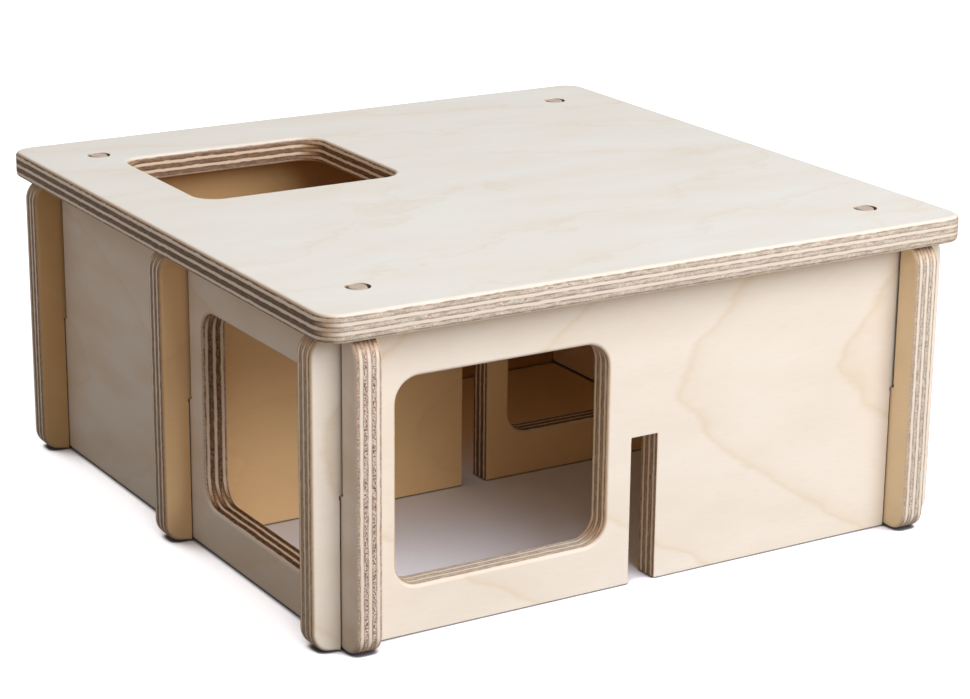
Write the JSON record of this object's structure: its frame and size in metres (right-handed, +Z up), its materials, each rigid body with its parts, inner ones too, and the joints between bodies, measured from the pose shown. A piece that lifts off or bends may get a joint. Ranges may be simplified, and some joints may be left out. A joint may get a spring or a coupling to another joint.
{
  "type": "small animal maze",
  "caption": "Square birch plywood maze house for small pets: slotted walls with rounded windows around two rooms, under a lift-off roof with a hatch and locating pegs.",
  "frame": {"origin": "middle of the footprint, on the ground under the walls", "axes": "+X to the right along the front wall, +Y towards the back wall, +Z up"},
  "size_m": [0.242, 0.242, 0.11],
  "materials": {
    "roof_plywood": "bare sanded birch plywood",
    "wall_plywood": "bare sanded birch plywood",
    "dowel_wood": "bare end grain"
  },
  "bodies": {
    "cross_walls": {"front_wall": "wall_plywood", "divider_wall": "wall_plywood", "back_wall": "wall_plywood"},
    "left_side": {"left_wall": "wall_plywood"},
    "right_side": {"right_wall": "wall_plywood"},
    "roof": {"roof_panel": "roof_plywood", "dowel_front_left": "dowel_wood", "dowel_front_right": "dowel_wood", "dowel_back_left": "dowel_wood", "dowel_back_right": "dowel_wood"}
  },
  "joints": [
    {"name": "roof_lift", "type": "slide", "parent": "cross_walls", "child": "roof", "axis": [0, 0, 1], "range_m": [0, 0.06]},
    {"name": "left_side_draw", "type": "slide", "parent": "cross_walls", "child": "left_side", "axis": [0, 0, -1], "range_m": [0, 0.11]},
    {"name": "right_side_draw", "type": "slide", "parent": "cross_walls", "child": "right_side", "axis": [0, 0, -1], "range_m": [0, 0.11]}
  ]
}
